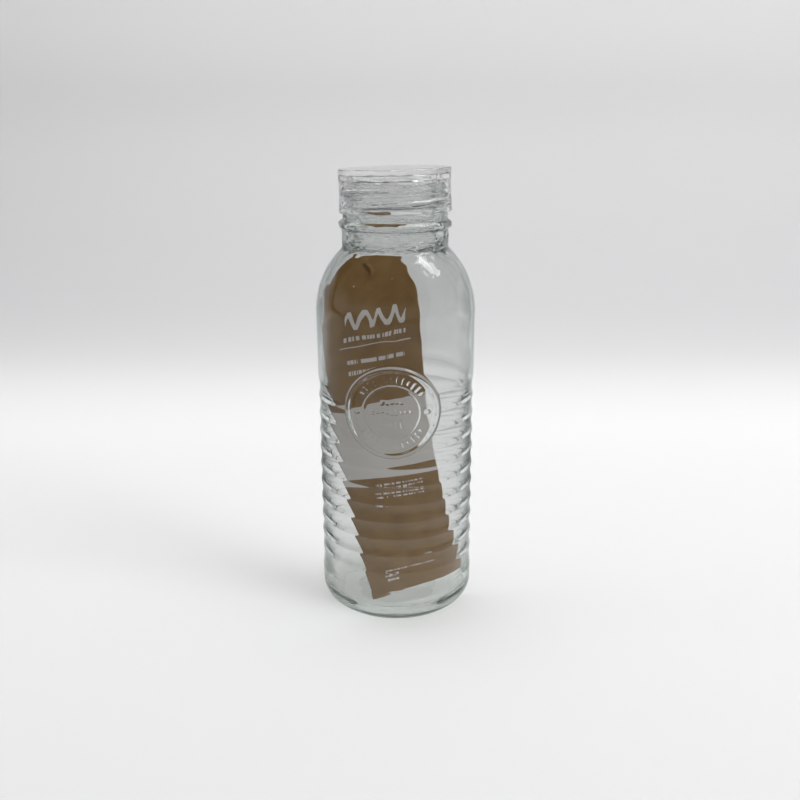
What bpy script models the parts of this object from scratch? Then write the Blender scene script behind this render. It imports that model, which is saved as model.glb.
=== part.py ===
"""Clear glass drinking bottle with a ribbed body, a round raised seal on its front,
a clear screw cap, and a kraft paper tag standing inside.

Metres, +Z up. The bottle stands on z = 0 round the Z axis, and its seal faces -Y.
"""
from math import atan2, cos, degrees, pi, radians, sin, sqrt

import bmesh
import bpy
from mathutils import Matrix, Vector

TURNED_STEPS = 48            # sides of the bottle and of the cap
MERGE = 0.00005              # points closer than this on a turned piece's axis become one

# Glass, outside
BODY_RADIUS = 0.0341         # smooth upper body
BAND_RADIUS = 0.0342         # plain band under the ribs
RIB_RADIUS = 0.0340          # sharp crest between two hollow grooves
GROOVE_DEPTH = 0.0005
GROOVE_PITCH = 0.0080
GROOVE_COUNT = 11
LOWEST_GROOVE = 0.0214       # height of the middle of the lowest groove
LOWEST_DEPTH = 0.35          # its share of the full depth
DEPTH_GAIN = 0.35            # each groove above it has this much more, up to the full depth
RIB_BLEND = 0.0015           # height over which the end crests run out into plain glass
HEEL_RADIUS = 0.0088         # rounding between the band and the foot
FOOT_RADIUS = 0.0170         # the foot ring the bottle rests on starts here
FOOT_LIFT = 0.0012           # the middle of the bottom is raised by this
FOOT_SLOPE = 0.0040          # width of the step up to the raised middle
SHOULDER_START = 0.1340      # the body curves in above this height
SHOULDER_CURVE = 0.0370
NECK_RADIUS = 0.02235
NECK_FILLET = 0.0030
NECK_TOP = 0.1690
BEAD_RADIUS = 0.02375        # rounded ring under the cap
BEAD_HEIGHT = 0.0036
BEAD_UNDERCUT = 0.0004       # the neck ends this far under the bead
COLLAR_RADIUS = 0.0220       # plain glass between the bead and the thread
COLLAR_TOP = 0.1755
COLLAR_CHAMFER = 0.0018
FINISH_RADIUS = 0.02025      # glass under the thread
GLASS_TOP = 0.1880
RIM_ROUNDING = 0.0010

# Glass, inside
FLOOR_HEIGHT = 0.0040
FLOOR_CROWN = 0.0004         # the floor rises this much to its middle
FLOOR_CORNER = 0.0070
INNER_RIB_RADIUS = 0.0320
INNER_BODY_RADIUS = 0.0326
SHOULDER_WALL = 0.0015
BORE_RADIUS = 0.0175
BORE_FILLET = 0.0060

# Thread, on the glass and in the cap
THREAD_PITCH = 0.0060
THREAD_TURNS = 1.25
THREAD_START = 0.1782        # height where the glass thread begins
THREAD_ROOT = 0.0022         # width of the ridge at its root
THREAD_CREST = 0.0008        # width of the ridge at its crest
THREAD_SUNK = 0.0004         # how deep a ridge's root reaches into its wall
GLASS_THREAD_RISE = 0.00105
CAP_THREAD_RISE = 0.00100
CAP_THREAD_BEGIN = 0.6       # turns after the glass thread's start

# Seal: a round relief bent round the body
SEAL_HEIGHT = 0.0981
SEAL_TURN = radians(-2.6)    # it sits a little left of the front
SEAL_RADIUS = 0.0200
SEAL_SIDES = 40
SEAL_FIELD = 0.0005          # the field stands this far off the body
SEAL_RIM = 0.00125           # the rim stands this far off the body
SEAL_RIM_WIDTH = 0.0032
SEAL_RING_RADIUS = 0.0115    # thin ring between the middle and the outer field
SEAL_RING_WIDTH = 0.0010
SEAL_RING_RISE = 0.0004
SEAL_BACK = 0.00115          # how deep its back is sunk in the wall

# Cap
CAP_BOTTOM = 0.1759
CAP_TOP = 0.1934
CAP_RADIUS = 0.0233
CAP_HEAD_RADIUS = 0.0234     # the thick rim round the top
CAP_FLARE_RADIUS = 0.0238    # lower edge of the skirt
CAP_FLARE = 0.0070           # height over which the skirt flares
CAP_ROUNDING = 0.0007
CAP_BORE = 0.02185
CAP_MOUTH = 0.0226           # wider mouth of the skirt, over the collar
CAP_MOUTH_DEPTH = 0.0022
CAP_PLATE = 0.0022           # thickness of the top
CAP_SEAT_RADIUS = 0.0195     # the top is thicker outside this, over the glass rim
CAP_SEAT = 0.0046
CAP_STEP = 0.0006            # small chamfers inside the cap and under its head
CAP_TILT = radians(1.2)      # screwed on a little askew, lower at the left

# Tag
TAG_THICKNESS = 0.0004
TAG_LEFT_BOTTOM = Vector((-0.0105, -0.0215, 0.0062))
TAG_RIGHT_BOTTOM = Vector((0.0310, -0.0022, 0.0114))
TAG_LEFT_TOP = Vector((-0.0317, 0.0010, 0.1563))
TAG_RIGHT_TOP = Vector((0.0112, 0.0150, 0.1591))
TAG_LEFT_CURVED = 0.78       # share of the left edge, from the bottom, that curves
TAG_LEFT_POWER = 1.35
TAG_RIGHT_CURVED = 0.80      # the same for the right edge
TAG_RIGHT_POWER = 1.8
TAG_LEFT_ARCH = (0.14, 2.0)  # share of the length that a top corner takes, and how full it is
TAG_RIGHT_ARCH = (0.21, 1.8)
TAG_FLAT_TOP = 0.12          # half of the flat top, as a share of the width
TAG_BOW = 0.0020             # the middle of the bottom edge bows forward by this
TAG_LEAN = 0.0085            # the top leans back from the shoulder
TAG_LEAN_START = 0.72
TAG_ROWS = 36
TAG_COLUMNS = 8


def arc(centre, radius, start, end, steps):
    """Points of a circular arc in the profile's plane, from start to end in degrees."""
    turns = [radians(start + (end - start) * i / steps) for i in range(steps + 1)]
    return [(centre[0] + radius * cos(turn), centre[1] + radius * sin(turn)) for turn in turns]


SHOULDER_CENTRE = (BODY_RADIUS - SHOULDER_CURVE, SHOULDER_START)


def fillet_at(wall, fillet, shoulder):
    """A fillet between an upright wall and a shoulder arc: its centre and its slope in degrees."""
    across = wall + fillet - SHOULDER_CENTRE[0]
    up = sqrt((shoulder + fillet) ** 2 - across ** 2)
    return (wall + fillet, SHOULDER_START + up), degrees(atan2(up, across))


def groove_points(groove, shares):
    """Points across a groove; a share is 0 in its middle, 1 on the crest above, -1 on the one below."""
    depth = GROOVE_DEPTH * min(1, LOWEST_DEPTH + DEPTH_GAIN * groove)
    middle = LOWEST_GROOVE + GROOVE_PITCH * groove
    return [(RIB_RADIUS - depth * (1 - share ** 2), middle + share * GROOVE_PITCH / 2)
            for share in shares]


def ribs():
    """Outline down over the grooves, from the smooth body to the plain band."""
    top = LOWEST_GROOVE + GROOVE_PITCH * (GROOVE_COUNT - 0.5)
    points = [(BODY_RADIUS, top + RIB_BLEND)]
    for groove in reversed(range(GROOVE_COUNT)):
        points += groove_points(groove, (1, 1 / 3, -1 / 3))
    points += groove_points(0, (-1,))
    return points + [(BAND_RADIUS, LOWEST_GROOVE - GROOVE_PITCH / 2 - RIB_BLEND)]


def inner_outline():
    """Inside of the glass, from the middle of the floor up to the rim."""
    corner = (INNER_RIB_RADIUS - FLOOR_CORNER, FLOOR_HEIGHT + FLOOR_CORNER)
    top_groove = LOWEST_GROOVE + GROOVE_PITCH * (GROOVE_COUNT - 1)
    inner_curve = SHOULDER_CURVE - SHOULDER_WALL
    fillet_centre, slope = fillet_at(BORE_RADIUS, BORE_FILLET, inner_curve)
    rim_centre = (BORE_RADIUS + RIM_ROUNDING, GLASS_TOP - RIM_ROUNDING)
    points = [(0, FLOOR_HEIGHT + FLOOR_CROWN)]
    points += arc(corner, FLOOR_CORNER, -90, 0, 4)
    points += [(INNER_RIB_RADIUS, top_groove - GROOVE_PITCH), (INNER_BODY_RADIUS, top_groove + GROOVE_PITCH)]
    points += arc(SHOULDER_CENTRE, inner_curve, 0, slope, 7)
    points += arc(fillet_centre, BORE_FILLET, 180 + slope, 180, 3)[1:]
    points += arc(rim_centre, RIM_ROUNDING, 180, 90, 2)
    return points


def outer_outline():
    """Outside of the glass, from the rim down to the middle of the foot."""
    bead_centre = (BEAD_RADIUS - BEAD_HEIGHT / 2, NECK_TOP + BEAD_HEIGHT / 2)
    rim_centre = (FINISH_RADIUS - RIM_ROUNDING, GLASS_TOP - RIM_ROUNDING)
    fillet_centre, slope = fillet_at(NECK_RADIUS, NECK_FILLET, SHOULDER_CURVE)
    points = arc(rim_centre, RIM_ROUNDING, 90, 0, 2)
    points += [(FINISH_RADIUS, COLLAR_TOP + COLLAR_CHAMFER), (COLLAR_RADIUS, COLLAR_TOP)]
    points.append((COLLAR_RADIUS, NECK_TOP + BEAD_HEIGHT))
    points += arc(bead_centre, BEAD_HEIGHT / 2, 75, -65, 4)
    points.append((NECK_RADIUS, NECK_TOP - BEAD_UNDERCUT))
    points += arc(fillet_centre, NECK_FILLET, 180, 180 + slope, 3)
    points += arc(SHOULDER_CENTRE, SHOULDER_CURVE, slope, 0, 7)[1:]
    points += ribs()
    points += arc((BAND_RADIUS - HEEL_RADIUS, HEEL_RADIUS), HEEL_RADIUS, 0, -90, 5)
    points += [(FOOT_RADIUS, 0), (FOOT_RADIUS - FOOT_SLOPE, FOOT_LIFT), (0, FOOT_LIFT)]
    return points


def cap_outline():
    """The cap's section: down its outside from the middle of the top, and up its inside."""
    seat = CAP_TOP - CAP_SEAT
    plate = CAP_TOP - CAP_PLATE
    mouth = CAP_BOTTOM + CAP_MOUTH_DEPTH
    edge = (CAP_HEAD_RADIUS - CAP_ROUNDING, CAP_TOP - CAP_ROUNDING)
    lip = CAP_STEP / 2
    outside = [(0, CAP_TOP)] + arc(edge, CAP_ROUNDING, 90, 0, 2)
    outside += [(CAP_HEAD_RADIUS, seat), (CAP_RADIUS, seat - CAP_STEP), (CAP_RADIUS, CAP_BOTTOM + CAP_FLARE),
                (CAP_FLARE_RADIUS, CAP_BOTTOM + lip), (CAP_FLARE_RADIUS - lip, CAP_BOTTOM)]
    inside = [(CAP_MOUTH, CAP_BOTTOM), (CAP_MOUTH, mouth), (CAP_BORE, mouth + CAP_STEP),
              (CAP_BORE, seat), (CAP_SEAT_RADIUS, seat), (CAP_SEAT_RADIUS, plate - CAP_STEP),
              (CAP_SEAT_RADIUS - CAP_STEP, plate), (0, plate)]
    return outside + inside


def seal_outline():
    """The seal's section: its face from the middle out to the rim, and back along its back."""
    ring_in = SEAL_RING_RADIUS - SEAL_RING_WIDTH / 2
    ring_out = SEAL_RING_RADIUS + SEAL_RING_WIDTH / 2
    ring_crest = SEAL_RING_WIDTH / 5
    crest = SEAL_FIELD + SEAL_RING_RISE
    face = [(0, SEAL_FIELD), (ring_in / 2, SEAL_FIELD), (ring_in, SEAL_FIELD)]
    face += [(SEAL_RING_RADIUS - ring_crest, crest), (SEAL_RING_RADIUS + ring_crest, crest)]
    face += [(ring_out, SEAL_FIELD), (SEAL_RADIUS - SEAL_RIM_WIDTH, SEAL_FIELD)]
    for share, height in ((0.22, 0.8), (0.5, 1.0), (0.75, 0.4)):
        rise = SEAL_FIELD + (SEAL_RIM - SEAL_FIELD) * height
        face.append((SEAL_RADIUS - SEAL_RIM_WIDTH * (1 - share), rise))
    back = [(SEAL_RADIUS * share, -SEAL_BACK) for share in (1, 0.75, 0.5, 0.25, 0)]
    return face + back


def material(name, colour, roughness, transmission=0.0, ior=1.45):
    """A plain surface in the piece's own colour."""
    made = bpy.data.materials.new(name)
    made.use_nodes = True
    shader = made.node_tree.nodes["Principled BSDF"]
    shader.inputs["Base Color"].default_value = (*colour, 1)
    shader.inputs["Roughness"].default_value = roughness
    shader.inputs["Metallic"].default_value = 0.0
    shader.inputs["Transmission Weight"].default_value = transmission
    shader.inputs["IOR"].default_value = ior
    return made


def add_object(name, mesh, collection, finish=None):
    """Link a mesh as an object, with its material."""
    made = bpy.data.objects.new(name, mesh)
    collection.objects.link(made)
    if finish:
        mesh.materials.append(finish)
    return made


def turned(name, outline, steps, collection, finish=None):
    """A piece turned from its section about the Z axis."""
    mesh = bpy.data.meshes.new(name)
    edges = [(i, i + 1) for i in range(len(outline) - 1)]
    mesh.from_pydata([(radius, 0, height) for radius, height in outline], edges, [])
    made = add_object(name, mesh, collection, finish)
    screw = made.modifiers.new("turn", "SCREW")
    screw.steps = steps
    screw.render_steps = steps
    screw.use_merge_vertices = True
    screw.merge_threshold = MERGE
    screw.use_smooth_shade = True
    return made


def as_mesh(source):
    """The evaluated mesh of an object, which is then removed."""
    bpy.context.view_layer.update()
    graph = bpy.context.evaluated_depsgraph_get()
    mesh = bpy.data.meshes.new_from_object(source.evaluated_get(graph))
    bpy.data.objects.remove(source)
    return mesh


def thread(name, wall, rise, start, begin, side, collection):
    """A thread ridge: a low trapezoid along a helix, faded out at both ends.

    The helix is at height start where it passes +X, and the ridge begins that many turns on.
    side is 1 for a ridge on the outside of a wall, -1 for one on the inside.
    """
    rings = round(TURNED_STEPS * THREAD_TURNS)
    skipped = round(TURNED_STEPS * begin) + 0.5
    fade = rings / 8
    root = wall - side * THREAD_SUNK
    shape = bmesh.new()
    sections = []
    for ring in range(rings + 1):
        turns = (skipped + ring) / TURNED_STEPS
        angle = 2 * pi * turns
        middle = start + THREAD_PITCH * turns
        crest = wall + side * rise * min(1, (ring + 0.3) / fade, (rings - ring + 0.3) / fade)
        corners = ((root, -THREAD_ROOT / 2), (crest, -THREAD_CREST / 2),
                   (crest, THREAD_CREST / 2), (root, THREAD_ROOT / 2))
        sections.append([shape.verts.new((radius * cos(angle), radius * sin(angle), middle + up))
                         for radius, up in corners])
    for lower, upper in zip(sections, sections[1:]):
        for i in range(len(corners)):
            shape.faces.new((lower[i], lower[i - 1], upper[i - 1], upper[i]))
    shape.faces.new(sections[0])
    shape.faces.new(reversed(sections[-1]))
    bmesh.ops.recalc_face_normals(shape, faces=shape.faces)
    mesh = bpy.data.meshes.new(name)
    shape.to_mesh(mesh)
    shape.free()
    return add_object(name, mesh, collection)


def seal(collection):
    """The round relief: a turned disc with a rim and an inner ring, bent round the body."""
    mesh = as_mesh(turned("seal_disc", seal_outline(), SEAL_SIDES, collection))
    for point in mesh.vertices:
        across, up, above = point.co
        reach = sqrt((BODY_RADIUS + above) ** 2 - across ** 2)
        point.co = Vector((across, -reach, SEAL_HEIGHT + up))
    mesh.transform(Matrix.Rotation(SEAL_TURN, 4, "Z"))
    return add_object("seal_relief", mesh, collection)


def join_to(piece, added):
    """Fuse another closed mesh to a piece."""
    added.hide_render = True
    added.display_type = "WIRE"
    fuse = piece.modifiers.new(added.name, "BOOLEAN")
    fuse.operation = "UNION"
    fuse.solver = "EXACT"
    fuse.object = added


def bottle(parts, helpers, glass):
    """The glass: body, seal and thread in one piece."""
    made = turned("bottle_glass", inner_outline() + outer_outline(), TURNED_STEPS, parts, glass)
    ridge = thread("glass_thread", FINISH_RADIUS, GLASS_THREAD_RISE, THREAD_START, 0, 1, helpers)
    join_to(made, seal(helpers))
    join_to(made, ridge)


def cap(parts, helpers, plastic):
    """The screw cap with its inner thread, a little askew on the neck."""
    made = turned("screw_cap", cap_outline(), TURNED_STEPS, parts, plastic)
    between = THREAD_START - THREAD_PITCH / 2
    ridge = thread("cap_thread", CAP_BORE, CAP_THREAD_RISE, between, CAP_THREAD_BEGIN, -1, helpers)
    join_to(made, ridge)
    pivot = Matrix.Translation((0, 0, (CAP_TOP + CAP_BOTTOM) / 2))
    askew = pivot @ Matrix.Rotation(-CAP_TILT, 4, "Y") @ pivot.inverted()
    made.matrix_world = askew
    ridge.matrix_world = askew


def tag_point(across, along):
    """A point of the tag: across runs 0 to 1 from left to right, along 0 to 1 from the bottom up."""
    left_bend = max(0, 1 - along / TAG_LEFT_CURVED) ** TAG_LEFT_POWER
    right_bend = max(0, 1 - along / TAG_RIGHT_CURVED) ** TAG_RIGHT_POWER
    left = TAG_LEFT_BOTTOM.lerp(TAG_LEFT_TOP, along)
    left.x = TAG_LEFT_TOP.x + (TAG_LEFT_BOTTOM.x - TAG_LEFT_TOP.x) * left_bend
    right = TAG_RIGHT_BOTTOM.lerp(TAG_RIGHT_TOP, along)
    right.x = TAG_RIGHT_TOP.x + (TAG_RIGHT_BOTTOM.x - TAG_RIGHT_TOP.x) * right_bend
    point = left.lerp(right, across)
    point.y -= TAG_BOW * (1 - along) * (1 - (2 * across - 1) ** 2)
    point.y += TAG_LEAN * (max(0, along - TAG_LEAN_START) / (1 - TAG_LEAN_START)) ** 2
    return point


def tag(parts, paper):
    """The paper tag: a sheet that leans in the bottle, its top cut to an arch."""
    shape = bmesh.new()
    bmesh.ops.create_grid(shape, x_segments=TAG_COLUMNS, y_segments=TAG_ROWS, size=0.5)
    for corner in shape.verts:
        across, along = corner.co.x + 0.5, corner.co.y + 0.5
        share, fullness = TAG_LEFT_ARCH if across < 0.5 else TAG_RIGHT_ARCH
        beyond = max(0, (along - 1 + share) / share)
        half_width = max(TAG_FLAT_TOP, 0.5 * sqrt(max(0, 1 - beyond ** fullness)))
        corner.co = tag_point(0.5 + (2 * across - 1) * half_width, along)
    mesh = bpy.data.meshes.new("paper_tag")
    shape.to_mesh(mesh)
    shape.free()
    made = add_object("paper_tag", mesh, parts, paper)
    thicken = made.modifiers.new("thickness", "SOLIDIFY")
    thicken.thickness = TAG_THICKNESS
    thicken.offset = 0.0


def main():
    for old in list(bpy.data.objects):
        bpy.data.objects.remove(old)
    parts = bpy.data.collections.new("ribbed_drinking_bottle")
    helpers = bpy.data.collections.new("shaping")
    for made in (parts, helpers):
        bpy.context.scene.collection.children.link(made)
    bottle(parts, helpers, material("clear_glass", (0.86, 0.93, 0.90), 0.02, 1.0, 1.52))
    cap(parts, helpers, material("clear_plastic", (0.93, 0.94, 0.94), 0.06, 1.0, 1.58))
    tag(parts, material("kraft_paper", (0.24, 0.145, 0.065), 0.85))


main()
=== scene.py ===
"""Looks of a clear glass drinking bottle: ribbed glass with a raised seal, a clear screw cap
and a printed kraft paper tag that stands inside.

Metres, +Z up, as in the frame: the bottle stands on z = 0 round the Z axis, and its seal faces -Y.
"""

from math import atan2, ceil, cos, degrees, hypot, pi, radians, sin, sqrt

import bmesh
import bpy
from mathutils import Matrix, Vector, noise


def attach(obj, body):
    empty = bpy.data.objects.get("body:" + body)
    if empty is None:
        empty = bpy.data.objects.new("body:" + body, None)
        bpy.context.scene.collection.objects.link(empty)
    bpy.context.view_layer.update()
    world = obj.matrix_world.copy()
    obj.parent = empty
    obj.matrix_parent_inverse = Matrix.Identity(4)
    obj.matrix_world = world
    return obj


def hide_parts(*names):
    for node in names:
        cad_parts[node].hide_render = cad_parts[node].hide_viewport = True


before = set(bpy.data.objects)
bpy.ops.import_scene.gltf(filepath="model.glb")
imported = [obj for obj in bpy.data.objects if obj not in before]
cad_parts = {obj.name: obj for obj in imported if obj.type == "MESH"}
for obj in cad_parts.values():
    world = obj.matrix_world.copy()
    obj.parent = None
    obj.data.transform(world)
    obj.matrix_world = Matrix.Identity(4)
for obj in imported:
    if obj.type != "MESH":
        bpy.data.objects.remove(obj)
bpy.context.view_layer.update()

# Glass, outside, as the CAD solid has it
BODY_RADIUS = 0.0341         # smooth upper body
BAND_RADIUS = 0.0342         # plain band under the ribs
RIB_RADIUS = 0.0340          # sharp crest between two hollow grooves
GROOVE_DEPTH = 0.0005
GROOVE_PITCH = 0.0080
GROOVE_COUNT = 11
LOWEST_GROOVE = 0.0214       # height of the middle of the lowest groove
LOWEST_DEPTH = 0.35          # its share of the full depth
DEPTH_GAIN = 0.35            # each groove above it has this much more, up to the full depth
RIB_BLEND = 0.0015           # height over which the end crests run out into plain glass
CREST_SOFT = 0.10            # share of a groove's half width that rounds the crest
OUTSIDE_ROOM = 0.00002       # the uneven outside lies this far in, so it stays within the CAD solid's box
HEEL_RADIUS = 0.0088         # rounding between the band and the foot
FOOT_RADIUS = 0.0170         # the foot ring the bottle rests on starts here
FOOT_LIFT = 0.0012           # the middle of the bottom is raised by this
FOOT_SLOPE = 0.0040
SHOULDER_START = 0.1340      # the body curves in above this height
SHOULDER_CURVE = 0.0370
NECK_RADIUS = 0.02235
NECK_FILLET = 0.0030
NECK_TOP = 0.1690
BEAD_RADIUS = 0.02375        # rounded ring under the cap
BEAD_HEIGHT = 0.0036
BEAD_UNDERCUT = 0.0004
COLLAR_RADIUS = 0.0220       # plain glass between the bead and the thread
COLLAR_TOP = 0.1755
COLLAR_CHAMFER = 0.0018
FINISH_RADIUS = 0.02025      # glass under the thread
GLASS_TOP = 0.1880
RIM_ROUNDING = 0.0010

# Glass, inside
FLOOR_HEIGHT = 0.0040
FLOOR_CROWN = 0.0004
FLOOR_CORNER = 0.0070
INNER_RIB_RADIUS = 0.0320
INNER_BODY_RADIUS = 0.0326
SHOULDER_WALL = 0.0015
BORE_RADIUS = 0.0175
BORE_FILLET = 0.0060

# Thread, on the glass and in the cap
THREAD_PITCH = 0.0060
THREAD_TURNS = 1.25
THREAD_START = 0.1782
THREAD_ROOT = 0.0022
THREAD_CREST = 0.0008
THREAD_FADE = 0.16           # turns over which a ridge rises at its ends
GLASS_THREAD_RISE = 0.00105
CAP_THREAD_RISE = 0.00100
CAP_THREAD_BEGIN = 0.6

# Seal
SEAL_HEIGHT = 0.0981
SEAL_ANGLE = radians(-92.6)  # direction its middle faces
SEAL_RADIUS = 0.0200
SEAL_FIELD = 0.0005          # the field stands this far off the body
SEAL_RIM = 0.0012            # the rim stands this far off the body
SEAL_RIM_WIDTH = 0.0032
SEAL_RING_RADIUS = 0.0115
SEAL_RING_WIDTH = 0.0010
SEAL_RING_RISE = 0.0004
SEAL_FIGURE_RISE = 0.00055   # bars and dots over the field
SEAL_SOFT = 0.00020          # width of a raised figure's sloped edge
SEAL_BAR_MIDDLE = 0.0142     # radius of the middle of the short bars
SEAL_BAR_LENGTH = 0.0028
SEAL_BAR_WIDTH = 0.0009
SEAL_BAR_STEP = radians(9.5)
SEAL_BAR_ARC = radians(58)   # the bars reach this far to both sides of the top and of the bottom
SEAL_DOT = 0.0009
SEAL_ROW_STEP = 0.0019       # from bar to bar in the rows inside the ring
SEAL_ROWS = [(0.0046, 0.0018, 0.0050), (0.0008, 0.0028, 0.0082), (-0.0046, 0.0034, 0.0056)]
SEAL_REACH = 0.0208          # half the side of the finely meshed patch
SEAL_CUTS = 3

# Cap
CAP_BOTTOM = 0.1759
CAP_TOP = 0.1934
CAP_RADIUS = 0.0233
CAP_HEAD_RADIUS = 0.0234
CAP_FLARE_RADIUS = 0.0238
CAP_FLARE = 0.0070
CAP_ROUNDING = 0.0007
CAP_BORE = 0.02185
CAP_BORE_NEAR = 0.0001       # points this close to it are on the threaded wall
CAP_MOUTH = 0.0226
CAP_MOUTH_DEPTH = 0.0022
CAP_PLATE = 0.0022
CAP_SEAT_RADIUS = 0.0195
CAP_SEAT = 0.0046
CAP_STEP = 0.0006
CAP_TILT = radians(1.2)
CAP_NOTCHES = 8              # shallow upright marks round the head
CAP_NOTCH_WIDTH = 0.0032
CAP_NOTCH_SOFT = 0.0008
CAP_NOTCH_DEPTH = 0.00030

# Tag
TAG_THICKNESS = 0.0004
TAG_LEFT_BOTTOM = Vector((-0.0105, -0.0215, 0.0062))
TAG_RIGHT_BOTTOM = Vector((0.0310, -0.0022, 0.0114))
TAG_LEFT_TOP = Vector((-0.0317, 0.0010, 0.1563))
TAG_RIGHT_TOP = Vector((0.0112, 0.0150, 0.1591))
TAG_LEFT_CURVED = 0.78
TAG_LEFT_POWER = 1.35
TAG_RIGHT_CURVED = 0.80
TAG_RIGHT_POWER = 1.8
TAG_LEFT_ARCH = (0.14, 2.0)  # share of the length that a top corner takes, and how full it is
TAG_RIGHT_ARCH = (0.21, 1.8)
TAG_FLAT_TOP = 0.12
TAG_BOW = 0.0020
TAG_LEAN = 0.0085
TAG_LEAN_START = 0.72
TAG_WIDTH = 0.0455           # printed width and length of the sheet
TAG_LENGTH = 0.1500
TAG_COLUMNS = 60
TAG_ROWS = 180
TAG_CALM = 0.08              # share of the sheet along its edges where the waves die out
TAG_PINCH = 0.46             # where the pinch lies, as a share of the way across
TAG_PINCH_CURVE = (0.035, 100)   # its swing to both sides, and how tightly it bends
TAG_PINCH_WIDTH = 0.030      # half its width, as a share of the sheet's
TAG_PINCH_RUN = (0.89, 0.96)     # shares of the way up between which it grows
TAG_PINCH_HEIGHT = 0.0011

# Fineness of the meshes
COLUMNS = 152                # sides of a turned piece
CAP_COLUMNS = 192
FILLET_STEPS = 4
WALL_STEP = 0.0022           # greatest height of a face on plain walls
BODY_STEP = 0.0015           # on the shoulder and on the inside of the body
RIB_RINGS = (0, 0.30, 0.55, 0.74, 0.87, 0.95)   # shares of half a groove where the mesh has a ring
BLEND_RINGS = 3
THREAD_STEP = 0.0003

# Unevenness, as the size of its lumps and its height
STREAK_STRETCH = 5           # streaks are this many times as long as high
RIB_RIPPLE = (0.004, 0.00004)
SHOULDER_RIPPLE = (0.0055, 0.00014)
NECK_RIPPLE = (0.003, 0.0002)
NECK_STREAKS = (0.0036, 0.0003)
FINISH_STREAKS = (0.0032, 0.00015)
INNER_RIPPLE = (0.014, 0.0001)
INNER_RIB_RIPPLE = (0.004, 0.00005)
BORE_RIPPLE = (0.003, 0.0002)
BORE_STREAKS = (0.004, 0.0005)
DENTS_RIPPLE = (0.003, 0.0004)
CAP_BORE_RIPPLE = (0.0022, 0.00014)
CAP_BORE_STREAKS = (0.0024, 0.00022)
CAP_WALL_STREAKS = (0.003, 0.0001)
TAG_WAVES = (1, 0.0006)
SHOULDER_DENTS = Vector((0.0160, -0.0205, 0.1575))   # middle of the small dents in the shoulder
DENTS_REACH = 0.0095
SHOULDER_ENDS = (NECK_TOP, NECK_TOP - 0.008)         # heights between which its ripples set in
NECK_BEGINS = (NECK_TOP - 0.010, NECK_TOP - 0.005)
BORE_BEGINS = (NECK_TOP - 0.014, NECK_TOP - 0.006)

# Photograph
LENS = 39.6
SENSOR = 36.0
CAMERA_PLACE = (0.00177, -0.3737, 0.20926)
CAMERA_PITCH = radians(17.242)   # it looks down by this
CAMERA_ROLL = radians(0.2)


def soft_step(start, end, value):
    """0 before start and 1 after end, with a smooth climb between; start may be the higher one."""
    share = min(1.0, max(0.0, (value - start) / (end - start)))
    return share * share * (3 - 2 * share)


def ripple(point, cell, height):
    """Uneven waves of about that height, with lumps of about that size."""
    return height * noise.noise(point / cell)


def streaks(point, cell, height):
    """Uneven waves that run round the axis, so they are longer than they are high."""
    return ripple(Vector((point.x, point.y, STREAK_STRETCH * point.z)), cell, height)


def arc(centre, radius, start, end, steps):
    """Points of a circular arc in the section's plane, from start to end in degrees."""
    turns = [radians(start + (end - start) * i / steps) for i in range(steps + 1)]
    return [Vector((centre[0] + radius * cos(turn), centre[1] + radius * sin(turn))) for turn in turns]


def rounded(corners):
    """An outline through (radius, height, fillet) corners, each inner one turned into a short curve."""
    path = [Vector(corner[:2]) for corner in corners]
    made = [path[0]]
    for before, here, after, corner in zip(path, path[1:], path[2:], corners[1:]):
        entry = here.lerp(before, min(0.45, corner[2] / (before - here).length))
        leave = here.lerp(after, min(0.45, corner[2] / (after - here).length))
        shares = [step / FILLET_STEPS for step in range(FILLET_STEPS + 1)]
        made += [entry.lerp(here, share).lerp(here.lerp(leave, share), share) for share in shares]
    return made + [path[-1]]


def filled(points, spacing):
    """The outline with points added wherever two lie further apart than the spacing."""
    made = [points[0]]
    for start, end in zip(points, points[1:]):
        cuts = ceil((end - start).length / spacing - 1e-6)
        made += [start.lerp(end, (i + 1) / cuts) for i in range(cuts)]
    return made


SHOULDER_CENTRE = (BODY_RADIUS - SHOULDER_CURVE, SHOULDER_START)


def fillet_at(wall, fillet, shoulder):
    """A fillet between an upright wall and a shoulder arc: its centre and its slope in degrees."""
    across = wall + fillet - SHOULDER_CENTRE[0]
    up = sqrt((shoulder + fillet) ** 2 - across ** 2)
    return (wall + fillet, SHOULDER_START + up), degrees(atan2(up, across))


def body_radius(height):
    """Radius of the outside between the heel and the shoulder: hollow grooves with sharp crests."""
    groove = (height - LOWEST_GROOVE) / GROOVE_PITCH
    nearest = min(GROOVE_COUNT - 1, max(0, round(groove)))
    off = min(1, abs(groove - nearest) * 2)
    raised = off ** 2 - max(0, off - 1 + CREST_SOFT) ** 2 / CREST_SOFT
    depth = GROOVE_DEPTH * min(1, LOWEST_DEPTH + DEPTH_GAIN * nearest)
    radius = RIB_RADIUS - depth * (1 - raised / (1 - CREST_SOFT))
    blend = RIB_BLEND / GROOVE_PITCH
    radius += (BODY_RADIUS - RIB_RADIUS) * soft_step(GROOVE_COUNT - 0.5, GROOVE_COUNT - 0.5 + blend, groove)
    return radius + (BAND_RADIUS - RIB_RADIUS) * soft_step(-0.5, -0.5 - blend, groove)


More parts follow.
